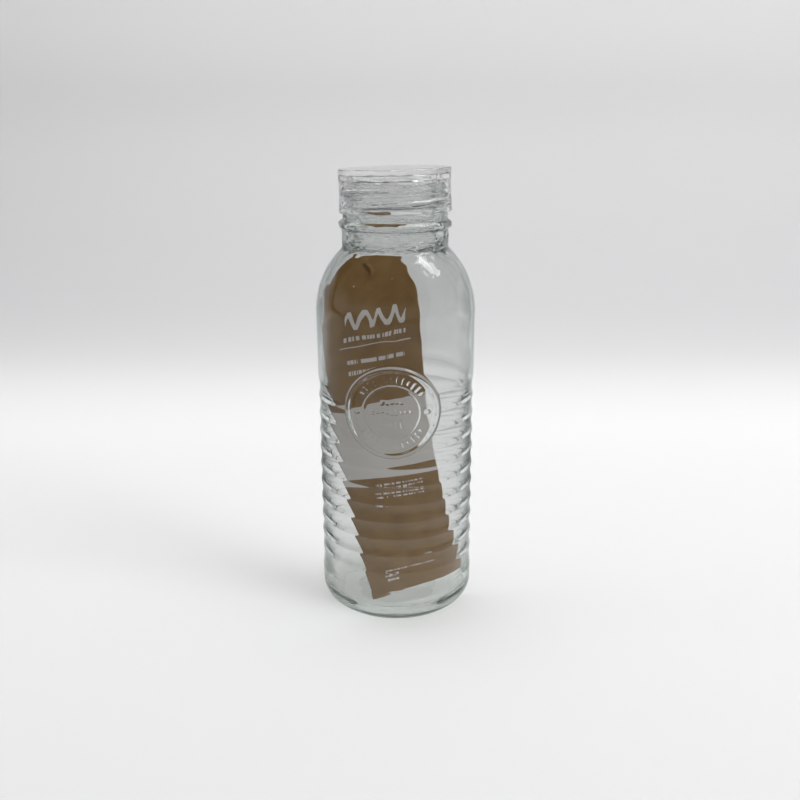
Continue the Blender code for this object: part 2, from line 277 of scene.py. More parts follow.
def inner_outline():
    """Inside of the glass, from the middle of the floor up to the rim."""
    corner = (INNER_RIB_RADIUS - FLOOR_CORNER, FLOOR_HEIGHT + FLOOR_CORNER)
    top_groove = LOWEST_GROOVE + GROOVE_PITCH * (GROOVE_COUNT - 1)
    inner_curve = SHOULDER_CURVE - SHOULDER_WALL
    fillet_centre, slope = fillet_at(BORE_RADIUS, BORE_FILLET, inner_curve)
    rim_centre = (BORE_RADIUS + RIM_ROUNDING, GLASS_TOP - RIM_ROUNDING)
    points = [Vector((0, FLOOR_HEIGHT + FLOOR_CROWN))]
    points += arc(corner, FLOOR_CORNER, -90, 0, 10)
    points += [Vector((INNER_RIB_RADIUS, top_groove - GROOVE_PITCH)),
               Vector((INNER_BODY_RADIUS, top_groove + GROOVE_PITCH))]
    points += arc(SHOULDER_CENTRE, inner_curve, 0, slope, 22)
    points += arc(fillet_centre, BORE_FILLET, 180 + slope, 180, 8)[1:]
    points += arc(rim_centre, RIM_ROUNDING, 180, 90, 5)
    return filled(points, BODY_STEP)


def outer_outline():
    """Outside of the glass, from the rim down to the middle of the foot."""
    bead_centre = (BEAD_RADIUS - BEAD_HEIGHT / 2, NECK_TOP + BEAD_HEIGHT / 2)
    rim_centre = (FINISH_RADIUS - RIM_ROUNDING, GLASS_TOP - RIM_ROUNDING)
    fillet_centre, slope = fillet_at(NECK_RADIUS, NECK_FILLET, SHOULDER_CURVE)
    finish = arc(rim_centre, RIM_ROUNDING, 90, 0, 5)
    finish += rounded([(FINISH_RADIUS, GLASS_TOP - 2 * RIM_ROUNDING, 0),
                       (FINISH_RADIUS, COLLAR_TOP + COLLAR_CHAMFER, 0.0006),
                       (COLLAR_RADIUS, COLLAR_TOP, 0.0006),
                       (COLLAR_RADIUS, NECK_TOP + BEAD_HEIGHT, 0.0005),
                       (bead_centre[0] + BEAD_HEIGHT / 8, NECK_TOP + BEAD_HEIGHT, 0)])
    finish += arc(bead_centre, BEAD_HEIGHT / 2, 72, -65, 12)
    finish += rounded([(bead_centre[0] + BEAD_HEIGHT / 5, NECK_TOP + BEAD_HEIGHT / 14, 0),
                       (NECK_RADIUS, NECK_TOP - BEAD_UNDERCUT, 0.0005),
                       (NECK_RADIUS, fillet_centre[1], 0)])
    finish += arc(fillet_centre, NECK_FILLET, 180, 180 + slope, 8)
    body = arc(SHOULDER_CENTRE, SHOULDER_CURVE, slope, 0, 26)
    lowest_crest = LOWEST_GROOVE - GROOVE_PITCH / 2
    highest_crest = lowest_crest + GROOVE_PITCH * GROOVE_COUNT
    body = filled(body[1:] + [Vector((BODY_RADIUS, highest_crest + RIB_BLEND))], BODY_STEP)
    shares = [-share for share in RIB_RINGS[:0:-1]] + list(RIB_RINGS) + [1]
    heights = [lowest_crest - RIB_BLEND * (1 - i / BLEND_RINGS) for i in range(BLEND_RINGS + 1)]
    heights += [LOWEST_GROOVE + GROOVE_PITCH * (groove + share / 2)
                for groove in range(GROOVE_COUNT) for share in shares]
    heights += [highest_crest + RIB_BLEND * i / BLEND_RINGS for i in range(1, BLEND_RINGS)]
    body += [Vector((body_radius(height), height)) for height in reversed(heights)]
    body += arc((BAND_RADIUS - HEEL_RADIUS, HEEL_RADIUS), HEEL_RADIUS, 0, -90, 14)
    foot = rounded([(BAND_RADIUS - HEEL_RADIUS, 0, 0), (FOOT_RADIUS, 0, 0.0015),
                    (FOOT_RADIUS - FOOT_SLOPE, FOOT_LIFT, 0.0015), (0, FOOT_LIFT, 0)])
    return filled(finish, THREAD_STEP * 1.5) + filled(body, WALL_STEP) + filled(foot[1:], WALL_STEP)


def cap_outline():
    """The cap's section: down its outside from the middle of the top, and up its inside."""
    seat = CAP_TOP - CAP_SEAT
    plate = CAP_TOP - CAP_PLATE
    mouth = CAP_BOTTOM + CAP_MOUTH_DEPTH
    soft = CAP_STEP / 2
    outside = rounded([(0, CAP_TOP, 0), (CAP_HEAD_RADIUS, CAP_TOP, CAP_ROUNDING),
                       (CAP_HEAD_RADIUS, seat, soft / 2), (CAP_RADIUS, seat - CAP_STEP, soft),
                       (CAP_RADIUS, CAP_BOTTOM + CAP_FLARE, soft), (CAP_FLARE_RADIUS, CAP_BOTTOM, soft),
                       (CAP_MOUTH, CAP_BOTTOM, soft), (CAP_MOUTH, mouth, soft),
                       (CAP_BORE, mouth + CAP_STEP, soft), (CAP_BORE, seat, soft),
                       (CAP_SEAT_RADIUS, seat, soft), (CAP_SEAT_RADIUS, plate, CAP_STEP), (0, plate, 0)])
    return filled(outside, THREAD_STEP * 1.5)


def thread_rise(turn, height, start, begin, rise):
    """How far a thread's ridge stands out at a turn and a height."""
    found = 0.0
    for lap in range(-1, 3):
        turns = turn / (2 * pi) + lap
        fade = soft_step(begin, begin + THREAD_FADE, turns)
        fade *= soft_step(begin + THREAD_TURNS, begin + THREAD_TURNS - THREAD_FADE, turns)
        off = abs(height - start - THREAD_PITCH * turns)
        found = max(found, fade * soft_step(THREAD_ROOT / 2, THREAD_CREST / 2, off))
    return rise * found


def row_rise(across, up):
    """Raised middle figures of the seal: rows of short uneven bars under a shallow arch."""
    rise = 0.0
    for level, height, half_row in SEAL_ROWS:
        figure = round(across / SEAL_ROW_STEP)
        if abs(figure) * SEAL_ROW_STEP > half_row:
            continue
        share = 0.65 + 0.35 * cos(5.1 * figure + 900 * level)
        side = abs(across - figure * SEAL_ROW_STEP + 0.25 * (up - level) * sin(3.7 * figure))
        bar = soft_step(SEAL_BAR_WIDTH / 2 + SEAL_SOFT, SEAL_BAR_WIDTH / 2 - SEAL_SOFT, side)
        end = abs(up - level) - height / 2 * share
        rise = max(rise, bar * soft_step(SEAL_SOFT, -SEAL_SOFT, end))
    return rise


def bars_rise(across, up, away):
    """Raised short bars round the top and the bottom of the seal, with a dot at each side."""
    turn = atan2(across, abs(up))
    rise = 0.0
    if abs(turn) < SEAL_BAR_ARC:
        bar = round(turn / SEAL_BAR_STEP)
        side = away * sin(turn - bar * SEAL_BAR_STEP)
        reach = SEAL_BAR_LENGTH / 2 * (1 if bar % 3 else 0.6)
        rise = soft_step(SEAL_BAR_WIDTH / 2 + SEAL_SOFT, SEAL_BAR_WIDTH / 2 - SEAL_SOFT, abs(side))
        rise *= soft_step(reach + SEAL_SOFT, reach - SEAL_SOFT, abs(away - SEAL_BAR_MIDDLE))
    dot = hypot(abs(across) - SEAL_BAR_MIDDLE, up)
    return max(rise, soft_step(SEAL_DOT + SEAL_SOFT, SEAL_DOT - SEAL_SOFT, dot))


def seal_rise(across, up):
    """How far the seal stands off the body, below 0 outside it."""
    away = hypot(across, up)
    if away > SEAL_RADIUS:
        return -1.0
    rim_in = SEAL_RADIUS - SEAL_RIM_WIDTH
    rim = soft_step(rim_in, rim_in + 0.45 * SEAL_RIM_WIDTH, away)
    rim *= soft_step(SEAL_RADIUS - 0.1 * SEAL_RIM_WIDTH, rim_in + 0.5 * SEAL_RIM_WIDTH, away)
    field = SEAL_FIELD * soft_step(SEAL_RADIUS, SEAL_RADIUS - 0.3 * SEAL_RIM_WIDTH, away)
    ring = soft_step(SEAL_RING_WIDTH / 2, SEAL_RING_WIDTH / 6, abs(away - SEAL_RING_RADIUS))
    figures = row_rise(across, up) if away < SEAL_RING_RADIUS else bars_rise(across, up, away)
    raised = max(SEAL_RING_RISE * ring, SEAL_FIGURE_RISE * figures)
    return field + (SEAL_RIM - SEAL_FIELD) * rim + raised


def shoulder_dents(point):
    """Small dents in the shoulder, which break up what it mirrors."""
    share = soft_step(DENTS_REACH, DENTS_REACH / 3, (point - SHOULDER_DENTS).length)
    return share * ripple(point, *DENTS_RIPPLE)


def outer_radius(turn, height, radius):
    """Radius of the outside of the glass at a turn: the section's, with thread, seal and ripples."""
    point = Vector((radius * cos(turn), radius * sin(turn), height))
    if height > COLLAR_TOP:
        ridge = thread_rise(turn, height, THREAD_START, 0, GLASS_THREAD_RISE)
        return radius + ridge + streaks(point, *FINISH_STREAKS)
    across = BODY_RADIUS * sin(turn - SEAL_ANGLE)
    up = height - SEAL_HEIGHT
    if cos(turn - SEAL_ANGLE) > 0 and hypot(across, up) < SEAL_RADIUS:
        radius = max(radius, BODY_RADIUS + seal_rise(across, up))
    ribbed = soft_step(SHOULDER_START, SEAL_HEIGHT, height) * soft_step(0, LOWEST_GROOVE, height)
    shoulder = soft_step(SEAL_HEIGHT + SEAL_RADIUS, SHOULDER_START, height)
    shoulder *= soft_step(*SHOULDER_ENDS, height)
    neck = soft_step(*NECK_BEGINS, height)
    uneven = ribbed * ripple(point, *RIB_RIPPLE) + shoulder * ripple(point, *SHOULDER_RIPPLE)
    uneven += shoulder_dents(point) + neck * (streaks(point, *NECK_STREAKS) + ripple(point, *NECK_RIPPLE))
    return radius - OUTSIDE_ROOM + uneven


def inner_radius(turn, height, radius):
    """Radius of the inside of the glass, which is a little uneven."""
    point = Vector((radius * cos(turn), radius * sin(turn), height))
    body = soft_step(FLOOR_HEIGHT, FLOOR_HEIGHT + 2 * FLOOR_CORNER, height)
    body *= soft_step(GLASS_TOP, NECK_TOP, height)
    ribbed = soft_step(SHOULDER_START, SEAL_HEIGHT, height)
    bore = soft_step(*BORE_BEGINS, height)
    uneven = ripple(point, *INNER_RIPPLE) + ribbed * ripple(point, *INNER_RIB_RIPPLE)
    uneven += bore * (ripple(point, *BORE_RIPPLE) + streaks(point, *BORE_STREAKS))
    return radius + body * uneven - shoulder_dents(point)


def cap_radius(turn, height, radius):
    """Radius of the cap's wall, with the thread on its inside."""
    point = Vector((radius * cos(turn), radius * sin(turn), height))
    if abs(radius - CAP_BORE) < CAP_BORE_NEAR:
        between = THREAD_START - THREAD_PITCH / 2
        ridge = thread_rise(turn, height, between, CAP_THREAD_BEGIN, CAP_THREAD_RISE)
        return radius - ridge + ripple(point, *CAP_BORE_RIPPLE) + streaks(point, *CAP_BORE_STREAKS)
    if radius > CAP_BORE and CAP_TOP - CAP_SEAT < height < CAP_TOP - CAP_ROUNDING / 2:
        step = 2 * pi / CAP_NOTCHES
        side = abs((turn + step / 2) % step - step / 2) * radius
        half = CAP_NOTCH_WIDTH / 2
        radius -= CAP_NOTCH_DEPTH * soft_step(half, half - CAP_NOTCH_SOFT, side)
    walls = soft_step(CAP_SEAT_RADIUS, CAP_BORE, radius) * soft_step(CAP_TOP, CAP_TOP - CAP_PLATE, height)
    return radius - walls * (CAP_WALL_STREAKS[1] + streaks(point, *CAP_WALL_STREAKS))


def turned(walls, columns):
    """A closed mesh turned about Z. walls are (outline, radius rule) pairs that run from axis to axis."""
    shape = bmesh.new()
    rings = []
    for outline, rule in walls:
        for radius, height in outline:
            if radius < 1e-6:
                rings.append([shape.verts.new((0, 0, height))] * columns)
                continue
            ring = []
            for column in range(columns):
                turn = 2 * pi * column / columns
                true = rule(turn, height, radius)
                ring.append(shape.verts.new((true * cos(turn), true * sin(turn), height)))
            rings.append(ring)
    for lower, upper in zip(rings, rings[1:]):
        for i in range(columns):
            corners = dict.fromkeys((lower[i - 1], lower[i], upper[i], upper[i - 1]))
            shape.faces.new(list(corners))
    bmesh.ops.recalc_face_normals(shape, faces=shape.faces)
    return shape


def near_seal(place):
    """Whether a place on the outside of the body is in the patch round the seal."""
    turn = atan2(place.y, place.x) - SEAL_ANGLE
    on_patch = abs(place.z - SEAL_HEIGHT) < SEAL_REACH and abs(BODY_RADIUS * sin(turn)) < SEAL_REACH
    return on_patch and cos(turn) > 0 and hypot(place.x, place.y) > RIB_RADIUS - 1.5 * GROOVE_DEPTH


def glass_shape():
    """The glass, with a finer patch where the seal stands out of it."""
    shape = turned([(inner_outline(), inner_radius), (outer_outline(), outer_radius)], COLUMNS)
    patch = {edge for face in shape.faces if near_seal(face.calc_center_median()) for edge in face.edges}
    bmesh.ops.subdivide_edges(shape, edges=list(patch), cuts=SEAL_CUTS, use_grid_fill=True)
    for corner in shape.verts:
        if near_seal(corner.co):
            turn = atan2(corner.co.y, corner.co.x)
            radius = outer_radius(turn, corner.co.z, body_radius(corner.co.z))
            corner.co = Vector((radius * cos(turn), radius * sin(turn), corner.co.z))
    many_sided = [face for face in shape.faces if len(face.verts) > 4]
    bmesh.ops.triangulate(shape, faces=many_sided)
    return shape


def cap_shape():
    """The screw cap, a little askew on the neck."""
    shape = turned([(cap_outline(), cap_radius)], CAP_COLUMNS)
    pivot = Matrix.Translation((0, 0, (CAP_TOP + CAP_BOTTOM) / 2))
    bmesh.ops.transform(shape, matrix=pivot @ Matrix.Rotation(-CAP_TILT, 4, "Y") @ pivot.inverted(),
                        verts=shape.verts)
    return shape


def tag_point(across, along):
    """A point of the tag: across runs 0 to 1 from left to right, along 0 to 1 from the bottom up."""
    left_bend = max(0, 1 - along / TAG_LEFT_CURVED) ** TAG_LEFT_POWER
    right_bend = max(0, 1 - along / TAG_RIGHT_CURVED) ** TAG_RIGHT_POWER
    left = TAG_LEFT_BOTTOM.lerp(TAG_LEFT_TOP, along)
    left.x = TAG_LEFT_TOP.x + (TAG_LEFT_BOTTOM.x - TAG_LEFT_TOP.x) * left_bend
    right = TAG_RIGHT_BOTTOM.lerp(TAG_RIGHT_TOP, along)
    right.x = TAG_RIGHT_TOP.x + (TAG_RIGHT_BOTTOM.x - TAG_RIGHT_TOP.x) * right_bend
    point = left.lerp(right, across)
    point.y -= TAG_BOW * (1 - along) * (1 - (2 * across - 1) ** 2)
    point.y += TAG_LEAN * (max(0, along - TAG_LEAN_START) / (1 - TAG_LEAN_START)) ** 2
    return point


def tag_crumple(across, along):
    """How far the sheet stands forward of its plain bend: a pinch in its top edge and soft waves."""
    edge = min(across, 1 - across, along, 1 - along)
    calm = soft_step(0, TAG_CALM, edge)
    wave = ripple(Vector((across * 3, along * 9, 0)), *TAG_WAVES) * calm
    swing, bends = TAG_PINCH_CURVE
    off = abs(across - TAG_PINCH - swing * cos(bends * (1 - along)))
    pinch = soft_step(TAG_PINCH_WIDTH, 0, off) * soft_step(*TAG_PINCH_RUN, along)
    return wave + TAG_PINCH_HEIGHT * pinch


def tag_shape():
    """The tag's sheet, its top cut to an arch, with a map of the flat sheet for its print."""
    shape = bmesh.new()
    bmesh.ops.create_grid(shape, x_segments=TAG_COLUMNS, y_segments=TAG_ROWS, size=0.5)
    sheet_map = shape.loops.layers.uv.new("sheet")
    flat = {}
    for corner in shape.verts:
        across, along = corner.co.x + 0.5, corner.co.y + 0.5
        share, fullness = TAG_LEFT_ARCH if across < 0.5 else TAG_RIGHT_ARCH
        beyond = max(0, (along - 1 + share) / share)
        half_width = max(TAG_FLAT_TOP, 0.5 * sqrt(max(0, 1 - beyond ** fullness)))
        across = 0.5 + (2 * across - 1) * half_width
        flat[corner] = (across, along)
        corner.co = tag_point(across, along)
        corner.co.y -= tag_crumple(across, along)
    for face in shape.faces:
        for loop in face.loops:
            loop[sheet_map].uv = flat[loop.vert]
    return shape


def add_piece(name, shape, node, materials):
    """A finished piece from its shape: smooth, and standing for a CAD node."""
    mesh = bpy.data.meshes.new(name)
    for face in shape.faces:
        face.smooth = True
    shape.to_mesh(mesh)
    shape.free()
    for finish in materials:
        mesh.materials.append(finish)
    piece = bpy.data.objects.new(name, mesh)
    bpy.context.scene.collection.objects.link(piece)
    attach(piece, "root")
    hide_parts(node)
    return piece


class Nodes:
    """Short calls that add nodes to a tree and link them."""

    def __init__(self, tree):
        self.tree = tree

    def add(self, kind, **values):
        """A node: settings by name, and its sockets' values in inputs, under their index or name."""
        inputs = values.pop("inputs", {})
        node = self.tree.nodes.new(kind)
        for name, value in values.items():
            setattr(node, name, value)
        for name, value in inputs.items():
            self.put(node.inputs[name], value)
        return node

    def put(self, socket, value):
        """Link an output to the input socket, or set a plain value there."""
        if isinstance(value, bpy.types.NodeSocket):
            self.tree.links.new(value, socket)
        else:
            socket.default_value = value

    def math(self, operation, first, second=0.0, clamp=False):
        return self.add("ShaderNodeMath", operation=operation, use_clamp=clamp,
                        inputs={0: first, 1: second}).outputs[0]

    def fade(self, value, start, end):
        """0 at start and 1 at end, smooth between."""
        node = self.add("ShaderNodeMapRange", interpolation_type="SMOOTHSTEP",
                        inputs={"Value": value, "From Min": start, "From Max": end})
        return node.outputs["Result"]

    def mix(self, share, first, second):
        """A colour between two."""
        node = self.add("ShaderNodeMix", data_type="RGBA", inputs={0: share, 6: first, 7: second})
        return node.outputs[2]


def new_group(name, inputs, outputs):
    """An empty node group with float, vector and colour sockets, and its ends."""
    group = bpy.data.node_groups.new(name, "ShaderNodeTree")
    kinds = {"value": "NodeSocketFloat", "vector": "NodeSocketVector", "colour": "NodeSocketColor"}
    for label, kind in inputs.items():
        group.interface.new_socket(name=label, in_out="INPUT", socket_type=kinds[kind])
    for label, kind in outputs.items():
        group.interface.new_socket(name=label, in_out="OUTPUT", socket_type=kinds[kind])
    nodes = Nodes(group)
    return group, nodes, nodes.add("NodeGroupInput").outputs, nodes.add("NodeGroupOutput").inputs


def handling_marks():
    """Faint wipes and specks from handling, for glass and plastic: a roughness and a relief."""
    group, nodes, given, out = new_group(
        "handling_marks", {"Position": "vector", "Wipe Size": "value", "Smooth": "value", "Dull": "value"},
        {"Roughness": "value", "Height": "value"})
    wipes = nodes.add("ShaderNodeTexNoise",
                      inputs={"Vector": given["Position"], "Scale": given["Wipe Size"],
                              "Detail": 3.0, "Roughness": 0.6, "Distortion": 0.4})
    mask = nodes.fade(wipes.outputs[0], 0.52, 0.75)
    span = nodes.math("SUBTRACT", given["Dull"], given["Smooth"])
    nodes.put(out["Roughness"], nodes.math("ADD", given["Smooth"], nodes.math("MULTIPLY", mask, span)))
    nodes.put(out["Height"], wipes.outputs[0])
    return group


def paper_fibres():
    """Kraft fibres: a mottled brown and a fine relief."""
    group, nodes, given, out = new_group(
        "paper_fibres", {"Position": "vector", "Dark": "colour", "Light": "colour"},
        {"Colour": "colour", "Height": "value"})
    stretched = nodes.add("ShaderNodeVectorMath", operation="MULTIPLY",
                          inputs={0: given["Position"], 1: (2.2, 1.0, 1.0)}).outputs[0]
    fibres = nodes.add("ShaderNodeTexNoise", inputs={"Vector": stretched, "Scale": 1.6, "Detail": 6.0,
                                                     "Roughness": 0.72}).outputs[0]
    clouds = nodes.add("ShaderNodeTexNoise", inputs={"Vector": given["Position"], "Scale": 0.12,
                                                     "Detail": 2.0}).outputs[0]
    both = nodes.math("ADD", nodes.math("MULTIPLY", fibres, 0.7), nodes.math("MULTIPLY", clouds, 0.3))
    nodes.put(out["Colour"], nodes.mix(nodes.fade(both, 0.36, 0.64), given["Dark"], given["Light"]))
    nodes.put(out["Height"], fibres)
    return group


def printed_bar():
    """A printed bar on the flat sheet, in millimetres: whole, or cut into uneven short dashes."""
    group, nodes, given, out = new_group(
        "printed_bar", {"Position": "vector", "Middle Across": "value", "Middle Along": "value",
                        "Half Width": "value", "Half Height": "value", "Dash": "value", "Gaps": "value"},
        {"Mask": "value"})
    apart = nodes.add("ShaderNodeSeparateXYZ", inputs={0: given["Position"]}).outputs
    soft = 0.06
    mask = 1.0
    for axis, middle, half in (("X", "Middle Across", "Half Width"), ("Y", "Middle Along", "Half Height")):
        off = nodes.math("ABSOLUTE", nodes.math("SUBTRACT", apart[axis], given[middle]))
        inside = nodes.fade(nodes.math("SUBTRACT", off, given[half]), soft, -soft)
        mask = nodes.math("MULTIPLY", inside, mask)
    cell = nodes.math("DIVIDE", apart["X"], given["Dash"])
    row = nodes.math("MULTIPLY", given["Middle Along"], 3.7)
    place = nodes.add("ShaderNodeCombineXYZ", inputs={0: cell, 1: row, 2: 0.0}).outputs[0]
    uneven = nodes.add("ShaderNodeTexNoise",
                       inputs={"Vector": place, "Scale": 1.0, "Detail": 0.0}).outputs[0]
    lower, upper = (nodes.math("ADD", given["Gaps"], shift) for shift in (-0.02, 0.02))
    kept = nodes.fade(uneven, lower, upper)
    nodes.put(out["Mask"], nodes.math("MULTIPLY", mask, kept))
    return group


def printed_wave():
    """A printed thick wavy line on the flat sheet, in millimetres."""
    group, nodes, given, out = new_group(
        "printed_wave", {"Position": "vector", "Middle Across": "value", "Middle Along": "value",
                         "Half Width": "value", "Crest": "value", "Wave": "value", "Half Line": "value"},
        {"Mask": "value"})
    apart = nodes.add("ShaderNodeSeparateXYZ", inputs={0: given["Position"]}).outputs
    across = nodes.math("SUBTRACT", apart["X"], given["Middle Across"])
    along = nodes.math("SUBTRACT", apart["Y"], given["Middle Along"])
    turn = nodes.math("MULTIPLY", nodes.math("DIVIDE", across, given["Wave"]), 2 * pi)
    swing = nodes.math("MULTIPLY", nodes.math("SINE", turn), given["Crest"])
    lean = nodes.math("ABSOLUTE", nodes.math("COSINE", turn))
    thicker = nodes.math("ADD", 1.0, nodes.math("MULTIPLY", lean, 1.3))
    reach = nodes.math("MULTIPLY", given["Half Line"], thicker)
    off = nodes.math("ABSOLUTE", nodes.math("SUBTRACT", along, swing))
    soft = 0.08
    line = nodes.fade(nodes.math("SUBTRACT", off, reach), soft, -soft)
    ends = nodes.math("SUBTRACT", nodes.math("ABSOLUTE", across), given["Half Width"])
    nodes.put(out["Mask"], nodes.math("MULTIPLY", line, nodes.fade(ends, soft, -soft)))
    return group


def new_material(name):
    """A material with its node helper, its Principled shader and its output."""
    made = bpy.data.materials.new(name)
    made.use_nodes = True
    nodes = made.node_tree.nodes
    return made, Nodes(made.node_tree), nodes["Principled BSDF"].inputs, nodes["Material Output"].inputs


def see_through(name, marks, colour, painted_edge_shade, ior, roughness, shade, depth):
    """A clear solid, given painted shade where it is seen edge on, that lets lamps shine through to what it
    holds.
    """
    made, nodes, shader, output = new_material(name)
    place = nodes.add("ShaderNodeTexCoord").outputs["Object"]
    worn = nodes.add("ShaderNodeGroup", node_tree=marks)
    values = {"Position": place, "Wipe Size": WIPE_SIZE, "Smooth": roughness, "Dull": roughness * 3}
    for label, value in values.items():
        nodes.put(worn.inputs[label], value)
    edge = nodes.add("ShaderNodeLayerWeight", inputs={"Blend": 0.25}).outputs["Facing"]
    edge_shade_share = nodes.fade(edge, *EDGE_SHADE_FADE)
    # Painted shade: the colour darkens where the surface is seen edge on
    nodes.put(shader["Base Color"], nodes.mix(edge_shade_share, (*colour, 1), (*painted_edge_shade, 1)))
    shader["IOR"].default_value = ior
    shader["Metallic"].default_value = 0.0
    shader["Transmission Weight"].default_value = 1.0
    nodes.put(shader["Roughness"], worn.outputs["Roughness"])
    bump = nodes.add("ShaderNodeBump", inputs={"Strength": 0.02, "Distance": 0.0002,
                                               "Height": worn.outputs["Height"]})
    nodes.put(shader["Normal"], bump.outputs["Normal"])
    path = nodes.add("ShaderNodeLightPath").outputs
    unbent = nodes.math("MAXIMUM", path["Is Shadow Ray"], path["Is Diffuse Ray"])
    passing = nodes.mix(edge, (1, 1, 1, 1), LIGHT_PAST_EDGE)
    clear = nodes.add("ShaderNodeBsdfTransparent", inputs={"Color": passing})
    principled = made.node_tree.nodes["Principled BSDF"].outputs[0]
    mixed = nodes.add("ShaderNodeMixShader", inputs={0: unbent, 1: principled, 2: clear.outputs[0]})
    nodes.put(output["Surface"], mixed.outputs[0])
    tint = nodes.add("ShaderNodeVolumeAbsorption", inputs={"Color": (*shade, 1), "Density": depth})
    nodes.put(output["Volume"], tint.outputs[0])
    return made


# Finishes of the clear pieces: colour seen straight on, painted shade seen edge on, refractive index,
# roughness, and the colour and strength of the tint inside
WIPE_SIZE = 55.0             # noise scale of the wipes from handling
EDGE_SHADE_FADE = (0.25, 0.62)     # from this facing to this one the colour goes from straight on to the painted edge shade
LIGHT_PAST_EDGE = (0.96, 0.975, 0.965, 1)   # share of a lamp's light that an edge lets through
CLEAR_GLASS = ((0.832, 0.838, 0.834), (0.09, 0.14, 0.118), 1.52, 0.004, (0.71, 0.775, 0.735), 38.0)
CLEAR_PLASTIC = ((0.99, 0.99, 0.99), (0.55, 0.57, 0.56), 1.58, 0.006, (0.85, 0.88, 0.88), 8.0)

# Card and ink
KRAFT_DARK = (0.205, 0.108, 0.028, 1)
KRAFT_LIGHT = (0.315, 0.181, 0.058, 1)
# Cut edge of the card: paler cut card, with a painted highlight along the edge
CUT_AND_GLINT_DARK = (0.45, 0.33, 0.19, 1)
CUT_AND_GLINT_LIGHT = (0.62, 0.49, 0.32, 1)
INK = (0.78, 0.74, 0.705, 1)
INK_COVER = 0.95

# Printed bars, in millimetres on the flat sheet: middle across, middle along, half width, half height,
# length of a dash and share left out.
BARS = [
    (23.0, 68.1, 30.0, 16.2, 500.0, -1.0),
    (23.8, 113.8, 14.8, 1.1, 1.3, 0.47),
    (23.8, 110.3, 16.5, 0.18, 500.0, -1.0),
    (23.5, 103.9, 13.5, 0.9, 0.7, 0.45),
    (16.5, 99.2, 6.5, 0.9, 0.7, 0.45),
    (25.0, 45.9, 12.0, 0.75, 0.8, 0.48),
    (24.5, 42.6, 12.0, 0.75, 0.8, 0.48),
    (21.0, 9.4, 12.5, 0.5, 0.5, 0.46),
    (12.0, 7.0, 3.0, 0.7, 0.5, 0.44),
    (15.0, 135.5, 0.20, 0.20, 500.0, -1.0),
    (32.0, 136.8, 0.20, 0.20, 500.0, -1.0),
]

# Printed wave over the bars, in millimetres: middle across and along, half width, height of a crest,
# length of a wave and half width of the line.
WAVE = (24.2, 121.6, 14.0, 2.5, 7.0, 0.95)


def paper(name, fibres, dark, light, bar=None, wave=None):
    """Kraft card; the printed face has pale grey fields, lines, dashes and a wave."""
    made, nodes, shader, output = new_material(name)
    flat = nodes.add("ShaderNodeUVMap", uv_map="sheet").outputs[0]
    place = nodes.add("ShaderNodeVectorMath", operation="MULTIPLY",
                      inputs={0: flat, 1: (TAG_WIDTH * 1000, TAG_LENGTH * 1000, 1.0)}).outputs[0]
    card = nodes.add("ShaderNodeGroup", node_tree=fibres)
    for label, value in (("Position", place), ("Dark", dark), ("Light", light)):
        nodes.put(card.inputs[label], value)
    colour = card.outputs["Colour"]
    if bar:
        mask = 0.0
        for group, values in [(bar, values) for values in BARS] + [(wave, WAVE)]:
            mark = nodes.add("ShaderNodeGroup", node_tree=group)
            nodes.put(mark.inputs["Position"], place)
            for socket, value in zip(list(mark.inputs)[1:], values):
                nodes.put(socket, value)
            mask = nodes.math("MAXIMUM", mark.outputs["Mask"], mask)
        colour = nodes.mix(nodes.math("MULTIPLY", mask, INK_COVER), colour, INK)
    nodes.put(shader["Base Color"], colour)
    shader["Roughness"].default_value = 0.8
    shader["Metallic"].default_value = 0.0
    bump = nodes.add("ShaderNodeBump", inputs={"Strength": 0.25, "Distance": 0.0001,
                                               "Height": card.outputs["Height"]})
    nodes.put(shader["Normal"], bump.outputs["Normal"])
    return made


# The stage: the floor near, the painted shade of the floor far back, the wall, the painted shade of its
# upper part, the painted shade in what gloss mirrors of it, and the painted glow of its far reaches as the
# camera sees them
FLOOR_NEAR = (0.94, 0.94, 0.942, 1)
FLOOR_FAR_PAINTED_SHADE = (0.62, 0.622, 0.627, 1)
WALL = (0.84, 0.84, 0.842, 1)
WALL_TOP_PAINTED_SHADE = (0.12, 0.12, 0.122, 1)
MIRRORED_STAGE_PAINTED_SHADE = (0.07, 0.07, 0.073, 1)
FAR_PAINTED_GLOW = (0.52, 0.522, 0.525, 1)
FLOOR_FADE = (0.20, 0.56)    # metres back over which the floor goes from its own tone to the painted shade far back
WALL_FADE = (0.04, 0.34)     # heights over which the floor goes over into the wall
TOP_FADE = (0.45, 0.80)      # heights over which the wall goes to painted shade for all but the camera
MIRROR_FADE = (0.04, 0.20)   # metres from the bottle, and metres back, over which the stage takes painted shade in what gloss mirrors
MIRROR_BACK = (0.35, 0.10)
GLOW_FADE = (0.95, 1.7)      # metres from the bottle over which the far reaches get their painted glow
GRAIN = 0.02                 # unevenness of the floor's tone


